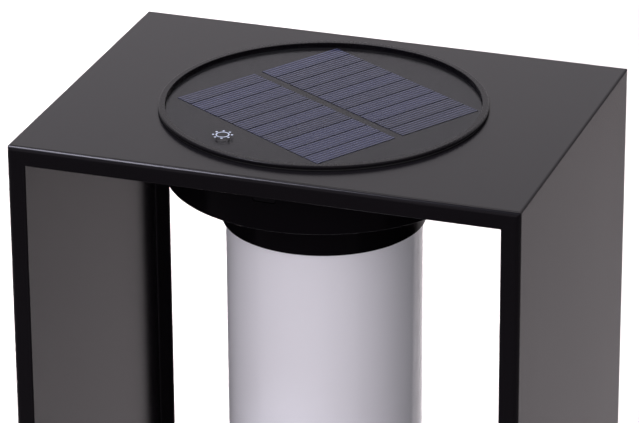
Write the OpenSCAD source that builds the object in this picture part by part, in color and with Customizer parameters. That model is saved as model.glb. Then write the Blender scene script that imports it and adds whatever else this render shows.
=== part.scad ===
// Solar garden bollard light.
// A portal frame of folded sheet carries a round solar lamp head, which drops into a hole in the
// frame's top panel and hangs there by its rim. Units are millimetres. The origin is the centre of
// the frame's footprint, +X runs across the wide front, +Y to the back and +Z up.

/* [Frame] */
// Width of the frame across its front
frame_w = 270; // [225:1:340]
// Depth of the frame, front to back
frame_d = 200; // [192:1:260]
// Height of the frame
frame_h = 500; // [400:5:900]
// Thickness of the folded sheet
sheet_t = 1.5; // [1:0.1:2.2]
// Depth of the inward flange along every long edge
flange_h = 10; // [7:0.5:18]
// Outer radius of the fold between a panel and its flange
fold_r = 2.5; // [2.3:0.1:5]
// Rounding of the four outer edges where the panels are welded and ground
corner_r = 1.2; // [0.4:0.1:2]
// Diameter of the four anchor holes in the base panel
anchor_d = 7; // [5:0.5:10]
// Distance of the anchor holes from the ends of the base panel
anchor_inset_x = 45; // [30:1:60]
// Distance of the anchor holes from the front and back of the base panel
anchor_inset_y = 40; // [25:1:60]

/* [Solar cover] */
// Diameter of the cover glass
glass_d = 163; // [155:0.5:176]
// Thickness of the cover glass
glass_t = 1.55; // [1.2:0.05:3]
// Height of the glass face above the top panel
glass_rise = 2; // [1.2:0.1:4]
// Width of the rim beside the glass
rim_w = 3.6; // [2.8:0.1:6]
// Height of the rim's crown above the glass face
rim_crown = 0.7; // [0.3:0.1:1.5]
// Compressed thickness of the gasket under the rim
gasket_t = 0.8; // [0.5:0.1:1.2]
// Number of cells in each string
cells_per_string = 10; // [6:1:12]
// Length of one cut cell
cell_l = 51; // [40:0.5:53]
// Width of one cut cell
cell_w = 11; // [8:0.1:12]
// Gap between neighbouring cells of a string
cell_gap = 0.4; // [0.2:0.1:1]
// Gap between the two strings
string_gap = 5; // [2:0.5:8]
// Thickness of a cell
cell_t = 0.25; // [0.2:0.01:0.4]
// Shift of the cell field away from the touch key
array_shift = 2.4; // [0:0.1:5]
// Thickness of the backing board under the cells
backing_t = 1; // [0.8:0.1:1.6]
// Outer diameter of the key symbol
icon_d = 10.8; // [8:0.1:14]

/* [Drum] */
// Outside diameter of the drum
drum_d = 164.8; // [154:0.2:174]
// Wall of the drum
drum_wall = 2.2; // [1.8:0.1:3]
// Floor of the drum
drum_floor = 3.2; // [3:0.1:5]
// Depth of the drum's underside below the top panel
drum_drop = 36; // [34:0.5:60]
// Direction of the cells' long side, with the head as it stands
head_angle = 58.5; // [0:0.5:359]
// Direction of the charging port, with the head as it stands
port_angle = -92.5; // [-180:0.5:180]

/* [Light] */
// Outside diameter of the collar
collar_d = 106.8; // [96:0.2:120]
// Wall of the collar
collar_wall = 1.7; // [1.4:0.1:2.5]
// Depth of the collar's lower edge below the top panel
collar_drop = 60.8; // [54:0.5:90]
// Wall of the diffuser tube
diffuser_wall = 2; // [1.5:0.1:3]
// Length of diffuser that shows below the collar
diffuser_show = 190; // [100:1:300]
// Rounding at the diffuser's closed end
diffuser_end_r = 6; // [3:0.5:12]
// Number of light-emitting diodes
led_count = 12; // [6:1:18]

/* [Battery] */
// Diameter of one battery cell
battery_d = 18.3; // [14:0.1:18.6]
// Length of one battery cell
battery_l = 65; // [48:0.5:66]

/* [Clearances] */
// Radial gap between the head's spigot and the hole that it drops into
seat_gap = 0.6; // [0.3:0.05:1.5]
// Radial gap between the glass and its rim
glass_gap = 0.2; // [0.1:0.05:0.4]
// Radial gap of parts that slip into each other
slip_gap = 0.3; // [0.15:0.05:0.5]
// Gap around the port cover
cover_gap = 0.4; // [0.3:0.05:0.6]
// Radial gap around a screw's shank
screw_gap = 0.1; // [0.05:0.05:0.3]

/* [Hidden] */
$fn = 96;

eps = 0.01;
coat = [0.16, 0.155, 0.165];
plastic = [0.07, 0.07, 0.08];
board_green = [0.1, 0.32, 0.2];
metal = [0.7, 0.7, 0.72];

// Radii that the head's pieces share, from the glass outwards
glass_r = glass_d / 2;
pocket_r = glass_r + glass_gap;
rim_r = pocket_r + rim_w;
spigot_wall = 1.1;
spigot_r = pocket_r + spigot_wall;
hole_r = spigot_r + seat_gap;
drum_r = drum_d / 2;
drum_in_r = drum_r - drum_wall;
collar_r = collar_d / 2;
collar_in_r = collar_r - collar_wall;
diffuser_r = collar_in_r - slip_gap;
diffuser_in_r = diffuser_r - diffuser_wall;

// Heights in the head, measured from the outer face of the top panel
glass_under = glass_rise - glass_t;
cell_under = glass_under - cell_t;
ledge_z = cell_under - backing_t;
ledge_t = 2.6;
rim_under = ledge_z - ledge_t;
drum_under = -drum_drop;
floor_z = drum_under + drum_floor;
collar_under = -collar_drop;
collar_flange_t = 2.5;
collar_flange_z = drum_under - collar_flange_t;
seal_t = 2;
diffuser_top = collar_flange_z - seal_t;
diffuser_under = collar_under - diffuser_show;

// Cell field
string_l = cells_per_string * cell_w + (cells_per_string - 1) * cell_gap;
icon_x = -(glass_r + (cell_l + string_gap / 2 - array_shift)) / 2;
touch_size = [14, 18, 1];

// Screws: M3 everywhere
screw_r = 1.5;
screw_head_r = 2.75;
screw_head_h = 1.8;
screw_hole_r = screw_r + screw_gap;
screw_sink = screw_head_h + 0.1;
post_r = 4;
post_at = drum_in_r - post_r - 2.6;
skirt_r = drum_in_r - slip_gap;
skirt_t = 1.6;
skirt_h = 3.6;
ledge_in_r = post_at;
touch_x = max(icon_x, touch_size[0] / 2 + 1.2 - ledge_in_r);
seal_land = 0.6;
seal_depth = 1;

// Electronics
pcb_t = 1.6;
board_w = 76;
board_d = 44;
board_at = [0, -33];
board_hole_inset = 4;
board_z = floor_z + 4;
plug_size = [8, 5, 5];
plug_inset = 2;
plug_x = [-24, 0, 24];
cradle_wall = 1.5;
battery_pitch = battery_d + 1.2;
contact_w = 10;
contact_t = 0.4;
battery_z = floor_z + cradle_wall + battery_d / 2 + slip_gap;
battery_y = [14, 14 + battery_pitch];
lead_hole_at = [0, -3.5];
lead_hole_r = 3;
lead_r = 1.1;
lead_gap = 0.2;

// Charging port, in a frame whose X points out of the drum
socket_w = 8.9;
socket_h = 3.2;
socket_l = 7.3;
port_z = -15.2;
port_w = 12;
port_h = 9.8;
port_face = drum_r - 2;
window_w = 9.6;
window_h = 3.9;
window_seat = port_face - 2.2;
cover_back_gap = 0.3;
pivot_r = 0.7;
pivot_x = port_face + cover_back_gap + pivot_r;
pivot_z = port_z + port_h / 2 + 0.2;
usb_board_w = 24;
usb_board_d = 12;
usb_board_t = 1;
usb_hole_inset = 3;
usb_board_x = window_seat - 0.2 - usb_board_d;
usb_board_z = port_z - socket_h / 2 - usb_board_t;

// Light engine
led_plate_r = 38;
led_plate_t = 1.5;
led_ring_r = 26;
led_size = [3.5, 2.8, 0.7];
led_screw_at = led_plate_r - 6;
led_screw_turn = 90;
collar_screw_at = (led_plate_r + collar_in_r) / 2;
collar_screw_turn = 30;

// ---- shared shapes ----

module head() {
    translate([0, 0, frame_h]) rotate(head_angle) children();
}

module port() {
    translate([0, 0, frame_h]) rotate(port_angle) children();
}

module tube(outer, inner, z0, z1) {
    translate([0, 0, z0]) difference() {
        cylinder(r = outer, h = z1 - z0);
        translate([0, 0, -1]) cylinder(r = inner, h = z1 - z0 + 2);
    }
}

module around(count, radius, start = 0) {
    for (i = [0 : count - 1]) rotate(start + i * 360 / count) translate([radius, 0, 0]) children();
}

// A plate in the XY plane with rounded corners, centred on the origin, its underside at z = 0
module plate(w, d, t, r) {
    linear_extrude(t) rounded_rect(w, d, r);
}

module rounded_rect(w, d, r) {
    square([w - 2 * r, d], center = true);
    square([w, d - 2 * r], center = true);
    for (sx = [-1, 1], sy = [-1, 1]) translate([sx * (w / 2 - r), sy * (d / 2 - r)]) circle(r);
}

// A cylinder-head screw, its head resting on z = 0 and its shank going up
module screw(length) {
    drive_r = 1.3;
    drive_depth = 1.1;
    difference() {
        union() {
            cylinder(r = screw_r, h = length);
            translate([0, 0, -screw_head_h]) cylinder(r = screw_head_r, h = screw_head_h);
        }
        translate([0, 0, -screw_head_h - 1]) cylinder(r = drive_r, h = drive_depth + 1, $fn = 6);
    }
}

// A round lead along one cubic curve from a to d, whose control points are b and c
function curve_point(a, b, c, d, s) =
    pow(1 - s, 3) * a + 3 * pow(1 - s, 2) * s * b + 3 * (1 - s) * pow(s, 2) * c + pow(s, 3) * d;
function unit(v) = v / norm(v);
function side_of(t) = unit(cross(t, abs(t[0]) < 0.9 ? [1, 0, 0] : [0, 1, 0]));

module lead(a, b, c, d, radius = lead_r, rings = 16, sides = 10) {
    path = [for (i = [0 : rings]) curve_point(a, b, c, d, i / rings)];
    tangents = [for (i = [0 : rings])
        unit(path[min(i + 1, rings)] - path[max(i - 1, 0)])];
    points = [for (i = [0 : rings], k = [0 : sides - 1])
        let (u = side_of(tangents[i]), v = cross(tangents[i], u), t = 360 * k / sides)
        path[i] + radius * (cos(t) * u + sin(t) * v)];
    walls = [for (i = [0 : rings - 1], k = [0 : sides - 1])
        let (n = (k + 1) % sides)
        [i * sides + k, (i + 1) * sides + k, (i + 1) * sides + n, i * sides + n]];
    ends = [[for (k = [0 : sides - 1]) k], [for (k = [sides - 1 : -1 : 0]) rings * sides + k]];
    polyhedron(points, concat(walls, ends));
}

// ---- frame ----

// Section of a panel: a skin on y = 0 with a flange folded up at each side and a rounded lip
module panel_section() {
    lip_r = sheet_t / 2;
    difference() {
        fold_outline(frame_d, fold_r, 0);
        fold_outline(frame_d - 2 * sheet_t, fold_r - sheet_t, sheet_t);
        translate([-frame_d, flange_h - lip_r]) square([2 * frame_d, flange_h]);
    }
    for (s = [-1, 1]) translate([s * (frame_d / 2 - lip_r), flange_h - lip_r]) circle(lip_r);
}

module fold_outline(w, r, y0) {
    translate([-w / 2, y0 + r]) square([w, flange_h]);
    translate([-w / 2 + r, y0]) square([w - 2 * r, flange_h]);
    for (s = [-1, 1]) translate([s * (w / 2 - r), y0 + r]) circle(r);
}

// A panel of the given length, skin down on z = 0, mitred at both ends
module panel(length) {
    reach = flange_h + 1;
    intersection() {
        translate([-length / 2, 0, 0]) rotate([90, 0, 90]) linear_extrude(length) panel_section();
        translate([0, frame_d, 0]) rotate([90, 0, 0]) linear_extrude(2 * frame_d)
            difference() {
                polygon([
                    [-length / 2, 0], [length / 2, 0],
                    [length / 2 - reach, reach], [-length / 2 + reach, reach]
                ]);
                for (s = [-1, 1]) translate([s * (length / 2 - corner_r), corner_r])
                    difference() {
                        translate([s > 0 ? 0 : -2 * corner_r, -2 * corner_r])
                            square(2 * corner_r);
                        circle(corner_r);
                    }
            }
    }
}

module top_panel() {
    color(coat) difference() {
        translate([0, 0, frame_h]) rotate([180, 0, 0]) panel(frame_w);
        translate([0, 0, frame_h - 2 * sheet_t]) cylinder(r = hole_r, h = 3 * sheet_t);
    }
}

module base_panel() {
    color(coat) difference() {
        panel(frame_w);
        for (sx = [-1, 1], sy = [-1, 1])
            translate([sx * (frame_w / 2 - anchor_inset_x), sy * (frame_d / 2 - anchor_inset_y), -1])
                cylinder(d = anchor_d, h = sheet_t + 2);
    }
}

module left_panel() {
    color(coat) translate([-frame_w / 2, 0, frame_h / 2]) rotate([0, 90, 0]) panel(frame_h);
}

module right_panel() {
    color(coat) translate([frame_w / 2, 0, frame_h / 2]) rotate([0, -90, 0]) panel(frame_h);
}

// ---- solar cover ----

module seat_gasket() {
    gasket_out = rim_r - 0.6;
    color([0.03, 0.03, 0.03]) head() tube(gasket_out, hole_r + 0.2, 0, gasket_t);
}

module rim_section() {
    crown = glass_rise + rim_crown;
    round_r = min(0.9, (crown - gasket_t) / 2);
    inner_r = 0.3;
    difference() {
        union() {
            translate([pocket_r, gasket_t]) square([rim_w - round_r, crown - gasket_t - inner_r]);
            translate([pocket_r + inner_r, gasket_t])
                square([rim_w - round_r - inner_r, crown - gasket_t]);
            translate([pocket_r, gasket_t]) square([rim_w, crown - gasket_t - round_r]);
            translate([rim_r - round_r, crown - round_r]) circle(round_r);
            translate([pocket_r + inner_r, crown - inner_r]) circle(inner_r);
            translate([pocket_r, rim_under]) square([spigot_wall, gasket_t - rim_under + eps]);
            translate([ledge_in_r, rim_under]) square([spigot_r - ledge_in_r, ledge_t]);
        }
        translate([rim_r, -1]) square([5, 1 + gasket_t]);
    }
}

module rim_ring() {
    color(plastic) head() difference() {
        union() {
            rotate_extrude() rim_section();
            tube(skirt_r, skirt_r - skirt_t, rim_under - skirt_h, rim_under + eps);
            around(4, post_at, 45) translate([0, 0, floor_z])
                cylinder(r = post_r, h = rim_under + ledge_t / 2 - floor_z);
        }
        around(4, post_at, 45) translate([0, 0, floor_z - 1]) cylinder(r = screw_hole_r, h = 14);
    }
}

module cover_glass() {
    color([0.25, 0.26, 0.3, 0.5]) head()
        translate([0, 0, glass_under]) cylinder(r = glass_r, h = glass_t);
}

// The brightness symbol: a ring with eight dots around it
module touch_icon() {
    dot_r = icon_d / 18;
    ring_r = 0.3 * icon_d;
    stroke = icon_d / 18;
    ink_t = 0.04;
    color([0.85, 0.88, 0.95]) head() translate([icon_x, 0, glass_rise]) {
        tube(ring_r + stroke / 2, ring_r - stroke / 2, 0, ink_t);
        around(8, icon_d / 2 - dot_r) cylinder(r = dot_r, h = ink_t);
    }
}

module cell_string(side) {
    x0 = array_shift + (side > 0 ? string_gap / 2 : -string_gap / 2 - cell_l);
    color([0.2, 0.21, 0.33]) head() for (i = [0 : cells_per_string - 1])
        translate([x0, -string_l / 2 + i * (cell_w + cell_gap), cell_under])
            cube([cell_l, cell_w, cell_t]);
}

module cell_backing() {
    color([0.12, 0.12, 0.13]) head()
        translate([0, 0, ledge_z]) cylinder(r = pocket_r - slip_gap / 2, h = backing_t);
}

module touch_electrode() {
    color([0.8, 0.5, 0.3]) head()
        translate([icon_x, 0, cell_under]) cylinder(r = icon_d / 2, h = cell_t / 2);
}

module touch_board() {
    color(board_green) head() translate([touch_x, 0, ledge_z - touch_size[2]]) {
        plate(touch_size[0], touch_size[1], touch_size[2], 1);
        translate([-2, -2, -1.2]) cube([4, 4, 1.2 + eps]);
    }
}

// ---- drum ----

module drum_section() {
    edge_r = 0.8;
    difference() {
        union() {
            translate([0, drum_under + edge_r]) square([drum_r, rim_under - drum_under - edge_r]);
            translate([0, drum_under]) square([drum_r - edge_r, 2 * edge_r]);
            translate([drum_r - edge_r, drum_under + edge_r]) circle(edge_r);
        }
        translate([-1, floor_z]) square([drum_in_r + 1, drum_drop]);
        translate([drum_in_r + seal_land, rim_under - seal_depth])
            square([drum_wall - 2 * seal_land, drum_drop]);
    }
}

module drum() {
    color(plastic) head() difference() {
        union() {
            rotate_extrude() drum_section();
            rotate(port_angle - head_angle) port_boss();
            board_posts();
        }
        around(4, post_at, 45) translate([0, 0, drum_under - 1]) {
            cylinder(r = screw_hole_r, h = drum_floor + 2);
            cylinder(r = screw_head_r + screw_gap, h = 1 + screw_sink);
        }
        around(3, collar_screw_at, collar_screw_turn)
            translate([0, 0, drum_under - 1]) cylinder(r = screw_hole_r, h = drum_floor + 2);
        around(3, led_screw_at, led_screw_turn)
            translate([0, 0, drum_under - 1]) cylinder(r = screw_hole_r, h = drum_floor - 0.2);
        translate([lead_hole_at[0], lead_hole_at[1], drum_under - 1])
            cylinder(r = lead_hole_r, h = drum_floor + 2);
        rotate(port_angle - head_angle) port_cut();
    }
}

// Posts on the drum's floor for the main board and the charging board
module board_posts() {
    board_post_r = 3;
    usb_post_r = 2.6;
    usb_post_drilled = 7;
    post_floor = 0.6;
    for (p = board_holes()) translate([p[0], p[1], floor_z])
        post(board_post_r, board_z - floor_z, board_z - floor_z - post_floor);
    rotate(port_angle - head_angle) for (p = usb_holes())
        translate([p[0], p[1], floor_z])
            post(usb_post_r, usb_board_z - floor_z, usb_post_drilled);
}

// A hollow post standing on z = 0, drilled down from its top
module post(radius, height, drilled) {
    difference() {
        translate([0, 0, -eps]) cylinder(r = radius, h = height + eps);
        translate([0, 0, height - drilled]) cylinder(r = screw_hole_r, h = drilled + 1);
    }
}

function board_holes() = [for (sx = [-1, 1], sy = [-1, 1])
    [board_at[0] + sx * (board_w / 2 - board_hole_inset),
     board_at[1] + sy * (board_d / 2 - board_hole_inset)]];

// The thicker patch of wall behind the port cover
module port_boss() {
    boss_w = 20;
    boss_h = 11;
    boss_under = port_z - 6;
    translate([window_seat, -boss_w / 2, boss_under])
        cube([drum_in_r + 1 - window_seat, boss_w, boss_h]);
}

function usb_holes() = [for (s = [-1, 1])
    [usb_board_x + usb_board_d / 2, s * (usb_board_w / 2 - usb_hole_inset)]];

// The recess for the port cover and the window for the plug
module port_cut() {
    recess_top = pivot_z + pivot_r + cover_gap;
    recess_under = port_z - port_h / 2 - cover_gap;
    recess_corner = 1.4;
    window_corner = 1.5;
    translate([port_face, 0, (recess_top + recess_under) / 2]) rotate([90, 0, 90])
        linear_extrude(10)
            rounded_rect(port_w + 2 * cover_gap, recess_top - recess_under, recess_corner);
    translate([port_face - 6, 0, port_z]) rotate([90, 0, 90])
        linear_extrude(8) rounded_rect(window_w, window_h, window_corner);
}

module drum_seal() {
    color([0.3, 0.3, 0.3]) head()
        tube(drum_r - seal_land, drum_in_r + seal_land, rim_under - seal_depth, rim_under);
}

module drum_screws() {
    color(metal) head() around(4, post_at, 45)
        translate([0, 0, drum_under + screw_sink]) screw(12);
}

// ---- electronics ----

module main_board() {
    color(board_green) head() translate([board_at[0], board_at[1], board_z]) difference() {
        plate(board_w, board_d, pcb_t, 2);
        for (p = board_holes())
            translate([p[0] - board_at[0], p[1] - board_at[1], -1]) cylinder(r = screw_hole_r, h = 4);
    }
}

module board_parts() {
    top = board_z + pcb_t;
    color([0.12, 0.12, 0.12]) head() translate([board_at[0], board_at[1], top]) {
        translate([-10, 4, 0]) cube([9, 9, 1.2]);
        translate([6, 2, 0]) cube([6, 5, 1.5]);
        translate([-26, -6, 0]) cube([7, 7, 1.4]);
        translate([22, -8, 0]) plate(12, 12, 6, 2);
        translate([4, -10, 0]) cylinder(r = 4, h = 9);
        translate([-12, -11, 0]) cylinder(r = 3.2, h = 8);
        for (x = plug_x) translate([x - plug_size[0] / 2, board_d / 2 - plug_size[1] - plug_inset, 0])
            cube(plug_size);
        for (i = [0 : 5]) translate([-30 + 6 * i, -17, 0]) cube([3.2, 1.6, 0.8]);
    }
}

module board_screws() {
    color(metal) head() for (p = board_holes())
        translate([p[0], p[1], board_z + pcb_t]) rotate([180, 0, 0]) screw(4.5);
}

module battery_cells() {
    nub_r = 2.8;
    nub_l = 1.2;
    color([0.2, 0.35, 0.6]) head() for (y = battery_y)
        translate([-battery_l / 2, y, battery_z]) rotate([0, 90, 0]) {
            cylinder(d = battery_d, h = battery_l - nub_l);
            translate([0, 0, battery_l - nub_l - eps]) cylinder(r = nub_r, h = nub_l + eps);
        }
}

// Open tray with a round-bottomed trough for each battery cell
module battery_cradle() {
    inner_l = battery_l + 3;
    side_h = 2;
    trough_r = battery_d / 2 + slip_gap;
    y0 = battery_y[0] - trough_r - cradle_wall;
    y1 = battery_y[1] + trough_r + cradle_wall;
    color([0.1, 0.1, 0.1]) head() difference() {
        translate([-inner_l / 2 - cradle_wall, y0, floor_z])
            cube([inner_l + 2 * cradle_wall, y1 - y0, battery_z - floor_z + side_h]);
        for (y = battery_y) translate([-inner_l / 2, y, battery_z]) rotate([0, 90, 0])
            cylinder(r = trough_r, h = inner_l);
        for (y = battery_y) translate([-inner_l / 2, y - trough_r, battery_z])
            cube([inner_l, 2 * trough_r, battery_d]);
        around(3, collar_screw_at, collar_screw_turn) translate([0, 0, floor_z - 1])
            cylinder(r = screw_head_r + slip_gap, h = 1 + screw_head_h + slip_gap);
    }
}

module battery_contacts() {
    color(metal) head() for (s = [-1, 1], y = battery_y)
        translate([s * (battery_l / 2 + contact_t / 2), y, battery_z])
            rotate([0, 90, 0]) translate([0, 0, -contact_t / 2])
                plate(contact_w, contact_w, contact_t, 2);
}

module usb_board() {
    color(board_green) port() difference() {
        translate([usb_board_x + usb_board_d / 2, 0, usb_board_z])
            plate(usb_board_d, usb_board_w, usb_board_t, 1);
        for (p = usb_holes())
            translate([p[0], p[1], usb_board_z - 1]) cylinder(r = screw_hole_r, h = 4);
    }
}

// Receptacle for the charging plug: a thin oval shell with a tongue inside
module usb_socket() {
    shell_t = 0.3;
    front = port_face - 2.4;
    tongue = [socket_l - 1.2, 6.6, 0.7];
    color(metal) port() {
        translate([front - socket_l, 0, port_z]) rotate([90, 0, 90]) difference() {
            linear_extrude(socket_l) rounded_rect(socket_w, socket_h, socket_h / 2 - 0.05);
            translate([0, 0, 1]) linear_extrude(socket_l)
                rounded_rect(socket_w - 2 * shell_t, socket_h - 2 * shell_t, socket_h / 2 - 0.4);
        }
        translate([front - socket_l + 0.5, -tongue[1] / 2, port_z - tongue[2] / 2]) cube(tongue);
    }
}

module usb_screws() {
    color(metal) port() for (p = usb_holes())
        translate([p[0], p[1], usb_board_z + usb_board_t]) rotate([180, 0, 0]) screw(6);
}

// The tab over the charging port: it swings out about the bead along its top
module port_cover() {
    face_r = drum_r - 0.2;
    plug_w = window_w - 2 * cover_gap;
    plug_h = window_h - 2 * cover_gap;
    plug_reach = 1.1;
    corner = 1.2;
    color([0.09, 0.09, 0.1]) port() {
        intersection() {
            translate([0, 0, -2 * drum_drop]) cylinder(r = face_r, h = 2 * drum_drop, $fn = 720);
            translate([port_face + cover_back_gap, 0, port_z]) rotate([90, 0, 90])
                linear_extrude(5) rounded_rect(port_w, port_h, corner);
        }
        translate([port_face + cover_back_gap - plug_reach, 0, port_z]) rotate([90, 0, 90])
            linear_extrude(plug_reach + 0.1) rounded_rect(plug_w, plug_h, corner);
        translate([pivot_x, port_w / 2 - 1, pivot_z]) rotate([90, 0, 0])
            cylinder(r = pivot_r, h = port_w - 2);
    }
}

// ---- light engine ----

module led_plate() {
    color([0.85, 0.85, 0.85]) head() difference() {
        translate([0, 0, drum_under - led_plate_t]) cylinder(r = led_plate_r, h = led_plate_t);
        around(3, led_screw_at, led_screw_turn)
            translate([0, 0, drum_under - led_plate_t - 1]) cylinder(r = screw_hole_r, h = led_plate_t + 2);
        translate([lead_hole_at[0], lead_hole_at[1], drum_under - led_plate_t - 1])
            cylinder(r = lead_hole_r, h = led_plate_t + 2);
    }
}

module led_chips() {
    color([0.95, 0.85, 0.4]) head() around(led_count, led_ring_r)
        translate([0, 0, drum_under - led_plate_t - led_size[2] / 2]) cube(led_size, center = true);
}

module led_screws() {
    color(metal) head() around(3, led_screw_at, led_screw_turn)
        translate([0, 0, drum_under - led_plate_t]) screw(led_plate_t + drum_floor - 1.4);
}

// White cone that turns the light down into the tube
module reflector() {
    depth = 14;
    top_r = led_plate_r + 1;
    foot_r = diffuser_in_r - slip_gap;
    wall = 1;
    color("white") head() rotate_extrude() polygon([
        [top_r, collar_flange_z], [foot_r, collar_flange_z - depth],
        [foot_r - wall, collar_flange_z - depth], [top_r - wall, collar_flange_z]
    ]);
}

module collar() {
    lip_r = 0.5;
    color(plastic) head() difference() {
        union() {
            tube(collar_r, collar_in_r, collar_under + lip_r, drum_under);
            tube(collar_r - lip_r, collar_in_r, collar_under, collar_under + lip_r + eps);
            rotate_extrude() intersection() {
                translate([collar_r - lip_r, collar_under + lip_r]) circle(lip_r);
                translate([collar_in_r, collar_under]) square([collar_wall, 2 * lip_r]);
            }
            tube(collar_in_r + eps, led_plate_r + 0.5, collar_flange_z, drum_under);
        }
        around(3, collar_screw_at, collar_screw_turn)
            translate([0, 0, collar_flange_z - 1]) cylinder(r = screw_hole_r, h = collar_flange_t + 2);
    }
}

module collar_screws() {
    color(metal) head() around(3, collar_screw_at, collar_screw_turn)
        translate([0, 0, floor_z]) rotate([180, 0, 0]) screw(drum_floor + collar_flange_t - 0.2);
}

module diffuser_seal() {
    color([0.85, 0.85, 0.85]) head() tube(diffuser_r, diffuser_in_r, diffuser_top, collar_flange_z);
}

module diffuser() {
    color([0.93, 0.93, 0.96]) head() rotate_extrude() difference() {
        tube_outline(diffuser_r, diffuser_end_r, diffuser_under, diffuser_top);
        tube_outline(
            diffuser_in_r, diffuser_end_r - diffuser_wall, diffuser_under + diffuser_wall,
            diffuser_top + 1);
    }
}

// Half section of a round body with a rounded lower end, from z0 up to z1
module tube_outline(r, end_r, z0, z1) {
    translate([0, z0 + end_r]) square([r, z1 - z0 - end_r]);
    translate([0, z0]) square([r - end_r, end_r + eps]);
    translate([r - end_r, z0 + end_r]) circle(end_r);
}

// ---- leads inside the drum ----

board_top = board_z + pcb_t;

// End of a lead standing on the connector at the given place along the main board
function in_plug(x) =
    [x, board_at[1] + board_d / 2 - plug_size[1] / 2 - plug_inset, board_top + plug_size[2] + lead_gap];
function above(p, rise) = p + [0, 0, rise];

module solar_lead() {
    start = [24, 4, ledge_z - lead_r];
    color([0.6, 0.1, 0.1]) head()
        lead(start, start + [14, -6, -2], above(in_plug(plug_x[2]), 9), in_plug(plug_x[2]));
}

module battery_lead() {
    start = [-battery_l / 2 - contact_t - lead_r - 0.1, battery_y[0], battery_z + 3];
    color([0.1, 0.1, 0.1]) head()
        lead(start, start + [-6, -6, 6], above(in_plug(plug_x[0]), 9), in_plug(plug_x[0]));
}

module led_lead() {
    hole = [lead_hole_at[0], lead_hole_at[1], drum_under - led_plate_t];
    color([0.85, 0.85, 0.85]) head()
        lead(in_plug(plug_x[1]), above(in_plug(plug_x[1]), 9), above(hole, 26), hole);
}

module usb_lead() {
    turn = port_angle - head_angle;
    start = usb_board_x - lead_r;
    pad = [-32, -28, board_top + lead_gap];
    color([0.1, 0.1, 0.1]) head() lead(
        [start * cos(turn), start * sin(turn), usb_board_z + 0.5],
        [(start - 8) * cos(turn), (start - 8) * sin(turn), usb_board_z + 4],
        above(pad, 12), pad);
}

module touch_lead() {
    pad = [-15, -24, board_top + lead_gap];
    start = [touch_x + 5, 8, ledge_z - touch_size[2] - lead_r];
    color([0.85, 0.85, 0.85]) head() lead(start, start + [8, 0, -2], above(pad, 14), pad);
}

top_panel();
left_panel();
right_panel();
base_panel();
seat_gasket();
rim_ring();
cover_glass();
touch_icon();
cell_string(-1);  // cell_string_a
cell_string(1);  // cell_string_b
cell_backing();
touch_electrode();
touch_board();
drum();
drum_seal();
drum_screws();
main_board();
board_parts();
board_screws();
battery_cells();
battery_cradle();
battery_contacts();
usb_board();
usb_socket();
usb_screws();
port_cover();
led_plate();
led_chips();
led_screws();
reflector();
collar();
collar_screws();
diffuser_seal();
diffuser();
solar_lead();
battery_lead();
led_lead();
usb_lead();
touch_lead();
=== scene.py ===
"""Looks for the solar garden bollard light: detailed pieces, materials, studio light and camera.

Lengths are in metres, in the CAD frame: +X across the wide front, +Y to the back, +Z up.
"""
import math

import bmesh
import bpy
from mathutils import Matrix, Vector


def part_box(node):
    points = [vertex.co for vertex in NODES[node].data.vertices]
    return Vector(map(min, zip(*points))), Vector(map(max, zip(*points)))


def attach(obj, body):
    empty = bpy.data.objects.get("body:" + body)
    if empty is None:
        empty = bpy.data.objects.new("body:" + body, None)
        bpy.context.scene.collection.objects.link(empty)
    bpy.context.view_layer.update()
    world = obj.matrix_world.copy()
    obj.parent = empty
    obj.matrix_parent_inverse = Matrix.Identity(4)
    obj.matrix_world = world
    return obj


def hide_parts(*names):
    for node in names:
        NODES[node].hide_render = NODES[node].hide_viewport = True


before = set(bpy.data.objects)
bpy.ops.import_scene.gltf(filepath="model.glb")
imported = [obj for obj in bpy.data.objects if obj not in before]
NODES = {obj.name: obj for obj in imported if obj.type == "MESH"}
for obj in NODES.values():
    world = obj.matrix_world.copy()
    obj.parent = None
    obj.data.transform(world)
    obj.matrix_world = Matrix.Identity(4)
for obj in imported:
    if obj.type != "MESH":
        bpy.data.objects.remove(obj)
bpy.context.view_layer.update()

MM = 0.001

COLLECTION = bpy.context.scene.collection


# ---- sizes, all taken from the CAD frame ----

def low(node):
    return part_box(node)[0]


def high(node):
    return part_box(node)[1]


def head_box(node):
    """Lowest and highest corner of a node in the lamp head's own axes, centred on the head."""
    turn = Matrix.Rotation(-HEAD_TURN, 3, "Z")
    points = [turn @ v.co for v in NODES[node].data.vertices]
    return (
        Vector(min(p[i] for p in points) for i in range(3)),
        Vector(max(p[i] for p in points) for i in range(3)),
    )


TOP_Z = high("top_panel").z
HEAD_TURN = math.radians(58.5)
SEGMENTS = 256

# Cells: ten to a string, and five printed fingers across each
CELLS_PER_STRING = 10
CELL_GAP = 0.8 * MM
CELL_BEVEL = 0.06 * MM
CELL_START = head_box("cell_string_a")[0].y - CELL_GAP / 2
CELL_STEP = (head_box("cell_string_a")[1].y - head_box("cell_string_a")[0].y + CELL_GAP) / CELLS_PER_STRING
FINGERS_PER_CELL = 5
FINGER_SHARE = 0.28
CELL_SHADE_SHARE = 0.7
BUSBAR_W = 0.3 * MM
BUSBAR_T = 0.015 * MM
BUSBAR_INSET = 0.35 * MM
BUSBAR_BEVEL = 0.01 * MM

# Cover glass and diffuser tube
GLASS_R = (high("cover_glass").x - low("cover_glass").x) / 2
GLASS_CLEARANCE = 0.05 * MM
GLASS_BEVEL = 0.35 * MM
DIFFUSER_WALL = 2 * MM
DIFFUSER_EDGE = 6 * MM
CLOSED_END_R = 20 * MM

# Depth of the bump in the materials
DEEP_GRAIN = 0.03 * MM
GRAIN = 0.02 * MM
FINE_GRAIN = 0.01 * MM


# ---- camera ----

# Lens in mm; yaw, pitch and roll in degrees
CAMERA_LENS = 234.39
CAMERA_TURN = 19.135, 23.867, -0.36
CAMERA_STAND = 0.6467, -1.8716, TOP_Z + 0.8167


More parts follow.
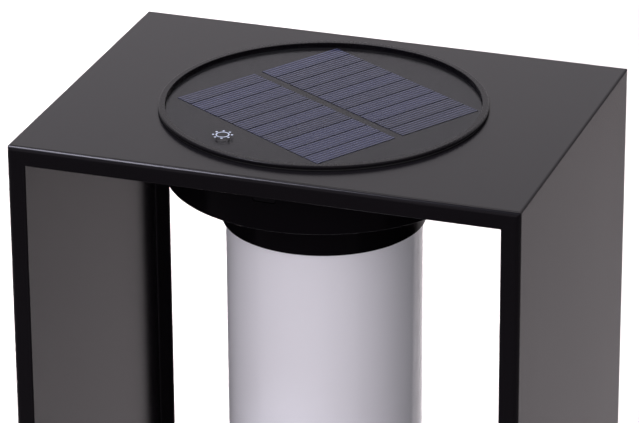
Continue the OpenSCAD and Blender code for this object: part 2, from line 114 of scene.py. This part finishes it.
def add_camera():
    """The photograph's own view: a long lens, looking down from the front right."""
    data = bpy.data.cameras.new("camera")
    data.lens = CAMERA_LENS
    data.sensor_width = 36
    data.clip_end = 50
    data.dof.use_dof = False
    camera = bpy.data.objects.new("camera", data)
    yaw, pitch, roll = (math.radians(a) for a in CAMERA_TURN)
    forward = Vector((-math.sin(yaw) * math.cos(pitch), math.cos(yaw) * math.cos(pitch), -math.sin(pitch)))
    right = forward.cross(Vector((0, 0, 1))).normalized()
    up = right.cross(forward)
    rolled_right = right * math.cos(roll) + up * math.sin(roll)
    rolled_up = up * math.cos(roll) - right * math.sin(roll)
    turn = Matrix((rolled_right, rolled_up, -forward)).transposed()
    camera.matrix_world = Matrix.Translation(CAMERA_STAND) @ turn.to_4x4()
    COLLECTION.objects.link(camera)
    bpy.context.scene.camera = camera


# ---- node helpers ----

def map_range(tree, value, from_low, from_high, to_low, to_high, kind="LINEAR"):
    made = tree.nodes.new("ShaderNodeMapRange")
    made.interpolation_type = kind
    for name, number in zip(
        ("From Min", "From Max", "To Min", "To Max"), (from_low, from_high, to_low, to_high)
    ):
        made.inputs[name].default_value = number
    tree.links.new(value, made.inputs["Value"])
    return made.outputs["Result"]


class Shader:
    """A material's node tree, built by chaining small calls."""

    def __init__(self, name):
        self.material = bpy.data.materials.new(name)
        self.material.use_nodes = True
        self.tree = self.material.node_tree
        self.bsdf = self.tree.nodes["Principled BSDF"]
        self.output = self.tree.nodes["Material Output"]

    def node(self, kind, **settings):
        made = self.tree.nodes.new(kind)
        for key, value in settings.items():
            setattr(made, key, value)
        return made

    def link(self, a, b):
        self.tree.links.new(a, b)

    def coordinates(self):
        return self.node("ShaderNodeTexCoord").outputs["Object"]

    def noise(self, per_metre, detail=2.0, rough=0.5, vector=None):
        made = self.node("ShaderNodeTexNoise")
        made.inputs["Scale"].default_value = per_metre
        made.inputs["Detail"].default_value = detail
        made.inputs["Roughness"].default_value = rough
        self.link(vector or self.coordinates(), made.inputs["Vector"])
        return made.outputs["Fac"]

    def cells(self, per_metre, feature="F1"):
        made = self.node("ShaderNodeTexVoronoi", feature=feature)
        made.inputs["Scale"].default_value = per_metre
        self.link(self.coordinates(), made.inputs["Vector"])
        return made.outputs["Distance"]

    def remap(self, value, to_low, to_high, from_low=0.0, from_high=1.0):
        return map_range(self.tree, value, from_low, from_high, to_low, to_high)

    def math(self, operation, a, b=None):
        made = self.node("ShaderNodeMath", operation=operation)
        for socket, value in zip(made.inputs, (a, b)):
            if value is None:
                continue
            if isinstance(value, (int, float)):
                socket.default_value = value
            else:
                self.link(value, socket)
        return made.outputs[0]

    def mix(self, factor, a, b):
        made = self.node("ShaderNodeMix", data_type="RGBA")
        for socket, value in ((made.inputs[0], factor), (made.inputs[6], a), (made.inputs[7], b)):
            if isinstance(value, tuple):
                socket.default_value = (*value, 1.0)
            elif isinstance(value, (int, float)):
                socket.default_value = value
            else:
                self.link(value, socket)
        return made.outputs[2]

    def color(self, value):
        self.link(value, self.bsdf.inputs["Base Color"])

    def roughness(self, value):
        self.link(value, self.bsdf.inputs["Roughness"])

    def bump(self, height, depth, strength=1.0):
        made = self.node("ShaderNodeBump")
        made.inputs["Distance"].default_value = depth
        made.inputs["Strength"].default_value = strength
        self.link(height, made.inputs["Height"])
        self.link(made.outputs["Normal"], self.bsdf.inputs["Normal"])

    def sockets(self, **values):
        for key, value in values.items():
            self.bsdf.inputs[key.replace("_", " ")].default_value = value


# ---- materials ----

def powder_coat():
    s = Shader("powder_coat")
    grain = s.noise(1800, 2, 0.6)
    cloud = s.noise(14, 3, 0.55)
    s.color(s.mix(cloud, (0.0036, 0.0031, 0.0040), (0.0044, 0.0039, 0.0048)))
    s.roughness(s.math("ADD", s.remap(cloud, 0.22, 0.25), s.remap(grain, -0.02, 0.02)))
    s.bump(grain, DEEP_GRAIN, 0.35)
    s.sockets(IOR=1.2, Specular_Tint=(1.0, 0.93, 0.99, 1.0))
    return s.material


def moulded_black(name, tint=(0.0024, 0.0021, 0.0028), rough=0.19, ior=1.11):
    """Black plastic with a fine spark-eroded texture."""
    s = Shader(name)
    grain = s.cells(1500)
    cloud = s.noise(30, 2)
    s.color(s.mix(cloud, tint, tuple(1.5 * c for c in tint)))
    s.roughness(s.remap(grain, rough - 0.05, rough + 0.05))
    s.bump(grain, DEEP_GRAIN, 0.3)
    s.sockets(IOR=ior, Specular_Tint=(1.0, 0.94, 1.0, 1.0))
    return s.material


def silicone(name, tint, rough=0.62):
    s = Shader(name)
    cloud = s.noise(120, 3)
    s.color(s.mix(cloud, tint, tuple(0.8 * c for c in tint)))
    s.roughness(s.remap(cloud, rough - 0.06, rough + 0.06))
    s.bump(s.noise(2500, 2), GRAIN, 0.4)
    return s.material


def circuit_board():
    s = Shader("circuit_board")
    tracks = s.cells(160, "DISTANCE_TO_EDGE")
    line = s.remap(tracks, 1, 0, 0.04, 0.07)
    s.color(s.mix(line, (0.012, 0.085, 0.035), (0.03, 0.17, 0.07)))
    s.roughness(s.remap(s.noise(400, 2), 0.28, 0.42))
    s.bump(line, DEEP_GRAIN, 0.8)
    return s.material


def plain_metal(name, tint, rough):
    s = Shader(name)
    brushed = s.noise(900, 3, 0.6)
    s.color(s.mix(brushed, tint, tuple(0.82 * c for c in tint)))
    s.roughness(s.remap(brushed, rough - 0.07, rough + 0.09))
    s.bump(brushed, FINE_GRAIN, 0.5)
    s.sockets(Metallic=1.0)
    return s.material


def simple(name, tint, rough, scale=300, spread=0.75, ior=1.5):
    """Any plain surface: a slight cloud in its tone, gloss and relief."""
    s = Shader(name)
    cloud = s.noise(scale, 3)
    s.color(s.mix(cloud, tint, tuple(spread * c for c in tint)))
    s.roughness(s.remap(cloud, rough - 0.05, rough + 0.07))
    s.bump(cloud, GRAIN, 0.3)
    s.sockets(IOR=ior)
    return s.material


def opal():
    """White opal acrylic: satin skin, with a faint painted glow in place of the daylight that passes
    through the tube.
    """
    s = Shader("opal_acrylic")
    cloud = s.noise(18, 3)
    s.color(s.mix(cloud, (0.83, 0.825, 0.885), (0.86, 0.855, 0.915)))
    s.roughness(s.remap(s.noise(900, 2), 0.08, 0.12))
    s.bump(s.noise(1500, 2), FINE_GRAIN, 0.15)
    # Painted glow: a weak emission stands in for daylight passing through the translucent wall, since the
    # lamp itself is off
    s.sockets(IOR=1.45, Emission_Color=(0.92, 0.92, 1.0, 1.0), Emission_Strength=0.08)
    return s.material


def clear_cover():
    """Clear glass, bonded to the layers below it, whose coats carry the gloss."""
    s = Shader("cover_glass")
    clear = s.node("ShaderNodeBsdfTransparent")
    s.link(s.mix(s.noise(60, 2), (0.955, 0.955, 0.965), (0.97, 0.97, 0.98)), clear.inputs["Color"])
    s.link(clear.outputs[0], s.output.inputs["Surface"])
    return s.material


def silver_print():
    s = Shader("silver_print")
    cloud = s.noise(900, 3)
    s.color(s.mix(cloud, (0.020, 0.022, 0.030), (0.030, 0.032, 0.042)))
    s.roughness(s.remap(cloud, 0.18, 0.24))
    s.bump(cloud, FINE_GRAIN, 0.1)
    s.sockets(IOR=1.19)
    return s.material


def head_coordinates(s):
    """Object coordinates in the lamp head's own axes, and their Y, which runs across the cells."""
    turned = s.node("ShaderNodeMapping")
    turned.inputs["Rotation"].default_value = (0, 0, -HEAD_TURN)
    s.link(s.coordinates(), turned.inputs["Vector"])
    split = s.node("ShaderNodeSeparateXYZ")
    s.link(turned.outputs["Vector"], split.inputs[0])
    return turned.outputs["Vector"], split.outputs["Y"]


def solar_cell(side, seed):
    """Blue-violet silicon with printed silver fingers, each cell of the string a shade of its own."""
    s = Shader("solar_cell_" + side)
    place, y = head_coordinates(s)
    along = s.math("SUBTRACT", y, CELL_START)
    phase = s.math("FRACT", s.math("DIVIDE", along, CELL_STEP / FINGERS_PER_CELL))
    finger = s.math("LESS_THAN", s.math("ABSOLUTE", s.math("SUBTRACT", phase, 0.5)), FINGER_SHARE / 2)
    index = s.math("FLOOR", s.math("DIVIDE", along, CELL_STEP))
    shade = s.node("ShaderNodeTexWhiteNoise", noise_dimensions="1D")
    s.link(s.math("ADD", index, seed), shade.inputs["W"])
    crystal = s.noise(30, 3, 0.6, place)
    whole = s.math("MULTIPLY", shade.outputs["Value"], CELL_SHADE_SHARE)
    blend = s.math("ADD", whole, s.math("MULTIPLY", crystal, 1 - CELL_SHADE_SHARE))
    silicon = s.mix(blend, (0.0012, 0.0014, 0.0068), (0.0080, 0.0095, 0.0300))
    s.color(s.mix(s.math("MULTIPLY", finger, 0.8), silicon, (0.050, 0.053, 0.076)))
    s.roughness(s.remap(crystal, 0.17, 0.21))
    s.bump(finger, FINE_GRAIN, 0.05)
    s.sockets(IOR=1.195)
    return s.material


def paint_nodes():
    """Give every CAD node its material, and return the materials by node."""
    looks = {
        powder_coat(): ("top_panel", "left_panel", "right_panel", "base_panel"),
        silicone("seal_silicone", (0.006, 0.006, 0.007)): ("seat_gasket", "drum_seal"),
        moulded_black("housing_plastic"): ("drum", "collar", "battery_cradle"),
        moulded_black("rim_plastic", rough=0.27, ior=1.17): ("rim_ring",),
        moulded_black("port_rubber", (0.0045, 0.0042, 0.005)): ("port_cover",),
        clear_cover(): ("cover_glass",),
        simple("icon_ink", (0.32, 0.35, 0.44), 0.5): ("touch_icon",),
        solar_cell("left", 0.37): ("cell_string_a",),
        solar_cell("right", 23.61): ("cell_string_b",),
        simple("backing_laminate", (0.0050, 0.0048, 0.0052), 0.21, 60, ior=1.2): ("cell_backing",),
        simple("carbon_ink", (0.0036, 0.0035, 0.0040), 0.21, 60, ior=1.2): ("touch_electrode",),
        circuit_board(): ("touch_board", "main_board", "usb_board"),
        simple("component_resin", (0.015, 0.015, 0.016), 0.45, 700): ("board_parts",),
        plain_metal("stainless_steel", (0.55, 0.55, 0.57), 0.3): (
            "drum_screws", "board_screws", "usb_screws", "led_screws", "collar_screws",
            "battery_contacts", "usb_socket",
        ),
        simple("battery_sleeve", (0.03, 0.11, 0.34), 0.3, 60): ("battery_cells",),
        simple("led_board_white", (0.75, 0.75, 0.76), 0.4, 200, 0.95): ("led_plate",),
        simple("phosphor", (0.85, 0.62, 0.12), 0.4, 900): ("led_chips",),
        simple("reflector_white", (0.82, 0.82, 0.83), 0.35, 200, 0.96): ("reflector",),
        silicone("clear_silicone", (0.55, 0.55, 0.56), 0.45): ("diffuser_seal",),
        opal(): ("diffuser",),
        silicone("lead_sleeve", (0.012, 0.012, 0.013)): (
            "solar_lead", "battery_lead", "led_lead", "usb_lead", "touch_lead",
        ),
    }
    for material, names in looks.items():
        for name in names:
            data = NODES[name].data
            data.materials.clear()
            data.materials.append(material)
    return {name: material for material, names in looks.items() for name in names}


# ---- pieces ----

def add_piece(name, bm, material, body, replaced=()):
    bmesh.ops.recalc_face_normals(bm, faces=bm.faces)
    data = bpy.data.meshes.new(name)
    bm.to_mesh(data)
    bm.free()
    piece = bpy.data.objects.new(name, data)
    COLLECTION.objects.link(piece)
    data.materials.append(material)
    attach(piece, body)
    if replaced:
        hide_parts(*replaced)
    return piece


def smooth(piece, angle=35):
    """Shade the piece smooth, but for the edges that turn by more than the angle in degrees."""
    for polygon in piece.data.polygons:
        polygon.use_smooth = True
    piece.data.set_sharp_from_angle(angle=math.radians(angle))


def turned(outline):
    """A closed body of revolution about Z from (radius, height) points, with flat ends."""
    bm = bmesh.new()
    rings = []
    for k in range(SEGMENTS):
        turn = 2 * math.pi * k / SEGMENTS
        rings.append([bm.verts.new((r * math.cos(turn), r * math.sin(turn), z)) for r, z in outline])
    for k, ring in enumerate(rings):
        following = rings[(k + 1) % SEGMENTS]
        for i in range(len(outline) - 1):
            bm.faces.new((ring[i], following[i], following[i + 1], ring[i + 1]))
    bm.faces.new([ring[0] for ring in reversed(rings)])
    bm.faces.new([ring[-1] for ring in rings])
    return bm


def arc(centre, radius, start, end, steps):
    """Points on an arc, angles in degrees from the outward direction."""
    return [
        (centre[0] + radius * math.cos(a), centre[1] + radius * math.sin(a))
        for a in (math.radians(start + (end - start) * k / steps) for k in range(steps + 1))
    ]


def box_mesh(bm, corner, size, edge):
    """A block with small bevels on every edge."""
    made = bmesh.ops.create_cube(bm, size=1.0)
    for vert in made["verts"]:
        vert.co = Vector(corner[i] + (vert.co[i] + 0.5) * size[i] for i in range(3))
    edges = list({e for v in made["verts"] for e in v.link_edges})
    bmesh.ops.bevel(bm, geom=edges, offset=edge, segments=2, affect="EDGES", profile=0.5)


def cell_strings(materials):
    """Each string is a row of cut cells, with a printed busbar along one long edge of each."""
    for side, node in (("left", "cell_string_a"), ("right", "cell_string_b")):
        start, end = head_box(node)
        cell = (end.x - start.x, CELL_STEP - CELL_GAP, end.z - start.z - GLASS_CLEARANCE)
        bar = (cell[0] - 2 * BUSBAR_INSET, BUSBAR_W, 2 * BUSBAR_T)
        bar_z = start.z + cell[2] - BUSBAR_T
        cells = bmesh.new()
        bars = bmesh.new()
        for i in range(CELLS_PER_STRING):
            y = start.y + i * CELL_STEP
            box_mesh(cells, (start.x, y, start.z), cell, CELL_BEVEL)
            box_mesh(bars, (start.x + BUSBAR_INSET, y + BUSBAR_INSET, bar_z), bar, BUSBAR_BEVEL)
        for mesh in (cells, bars):
            mesh.transform(Matrix.Rotation(HEAD_TURN, 4, "Z"))
        add_piece("cells_" + side, cells, materials[side], "head", (node,))
        add_piece("busbars_" + side, bars, materials["silver"], "head")


def pane(material):
    """The cover glass, its edge ground to a small bevel above and below."""
    start, end = head_box("cover_glass")
    bottom, top = start.z + GLASS_CLEARANCE, end.z
    bm = turned([
        (GLASS_R - GLASS_BEVEL, bottom), (GLASS_R, bottom + GLASS_BEVEL),
        (GLASS_R, top - GLASS_BEVEL), (GLASS_R - GLASS_BEVEL, top),
    ])
    smooth(add_piece("glass_pane", bm, material, "head", ("cover_glass",)))


def tube_shade(material):
    """The opal tube: a thin wall, a round-edged closed end and a rolled upper lip."""
    start, end = head_box("diffuser")
    outer = (end.x - start.x) / 2
    inner = outer - DIFFUSER_WALL
    edge = DIFFUSER_EDGE
    lip = DIFFUSER_WALL / 2
    outline = [(CLOSED_END_R, start.z)]
    outline += arc((outer - edge, start.z + edge), edge, -90, 0, 12)
    outline += arc((outer - lip, end.z - lip), lip, 0, 180, 10)
    outline += arc((inner - edge + DIFFUSER_WALL, start.z + edge), edge - DIFFUSER_WALL, 0, -90, 12)
    outline += [(CLOSED_END_R, start.z + DIFFUSER_WALL)]
    bm = turned(outline)
    smooth(add_piece("opal_tube", bm, material, "head", ("diffuser",)), 50)


# ---- studio ----

BACK_WALL = 1.22
FRONT_WALL = 0.98
BACK_RIGHT_SHARE = 0.5
FRONT_RIGHT_SHARE = 1.6
CEILING_SHARE = 0.04
FLOOR_SIZE = 12


def area_light(name, place, target, size, power, tint, spread):
    """A rectangular lamp, its power in watts and its spread in degrees, which the camera doesn't see."""
    data = bpy.data.lights.new(name, "AREA")
    data.shape = "RECTANGLE"
    data.spread = math.radians(spread)
    data.size, data.size_y = size
    data.energy = power
    data.color = tint
    light = bpy.data.objects.new(name, data)
    aim = Vector(target) - Vector(place)
    light.matrix_world = Matrix.Translation(place) @ aim.to_track_quat("-Z", "Y").to_matrix().to_4x4()
    light.visible_camera = False
    COLLECTION.objects.link(light)


def ramp(tree, value, start, end, to_low, to_high):
    return map_range(tree, value, start, end, to_low, to_high, "SMOOTHSTEP")


def combine(tree, operation, a, b):
    made = tree.nodes.new("ShaderNodeMath")
    made.operation = operation
    tree.links.new(a, made.inputs[0])
    tree.links.new(b, made.inputs[1])
    return made.outputs[0]


def sky():
    """A studio's walls: bright behind the object, dimmer in front, and dark overhead."""
    world = bpy.data.worlds.new("studio")
    bpy.context.scene.world = world
    world.use_nodes = True
    tree = world.node_tree
    back = tree.nodes["Background"]
    coordinate = tree.nodes.new("ShaderNodeTexCoord")
    split = tree.nodes.new("ShaderNodeSeparateXYZ")
    tree.links.new(coordinate.outputs["Generated"], split.inputs[0])
    x, y, z = split.outputs
    rear = combine(
        tree, "MULTIPLY",
        ramp(tree, y, -0.05, 0.55, 0.0, BACK_WALL), ramp(tree, x, 0.0, 0.45, 1.0, BACK_RIGHT_SHARE),
    )
    front = combine(
        tree, "MULTIPLY",
        ramp(tree, y, 0.35, -0.1, 0.0, FRONT_WALL), ramp(tree, x, -0.6, 0.7, 1.0, FRONT_RIGHT_SHARE),
    )
    rear = combine(tree, "MULTIPLY", rear, ramp(tree, z, 0.5, 0.68, 1.0, CEILING_SHARE))
    front = combine(tree, "MULTIPLY", front, ramp(tree, z, 0.6, 0.8, 1.0, CEILING_SHARE))
    level = combine(tree, "MAXIMUM", rear, front)
    tree.links.new(level, back.inputs["Strength"])
    back.inputs["Color"].default_value = (1.0, 0.955, 0.995, 1.0)


def paper_floor():
    floor_mesh = bpy.data.meshes.new("floor")
    bm = bmesh.new()
    bmesh.ops.create_grid(bm, x_segments=1, y_segments=1, size=FLOOR_SIZE)
    bm.to_mesh(floor_mesh)
    bm.free()
    floor = bpy.data.objects.new("floor", floor_mesh)
    COLLECTION.objects.link(floor)
    s = Shader("floor_paper")
    s.color(s.mix(s.noise(3, 2), (0.305, 0.284, 0.288), (0.325, 0.304, 0.308)))
    s.sockets(Roughness=0.9, IOR=1.1)
    floor_mesh.materials.append(s.material)


def studio():
    sky()
    area_light("strip", (-0.4, -0.22, 1.35), (-0.08, -0.1, 0.5), (0.5, 0.09), 13.0, (0.84, 0.88, 1.0), 180)
    area_light("floor_wide", (-0.2, 1.6, 2.6), (-0.25, 1.25, 0), (2.6, 1.8), 37, (1.0, 0.98, 0.985), 75)
    area_light("floor_near", (-0.6, 1.15, 2.0), (-0.5, 0.9, 0), (0.7, 1.4), 13, (1.0, 0.99, 0.99), 40)
    paper_floor()
    scene = bpy.context.scene
    scene.view_settings.view_transform = "Standard"
    scene.view_settings.look = "None"


add_camera()
LOOKS = paint_nodes()
cell_strings({
    "left": LOOKS["cell_string_a"], "right": LOOKS["cell_string_b"], "silver": silver_print(),
})
pane(LOOKS["cover_glass"])
tube_shade(LOOKS["diffuser"])
studio()
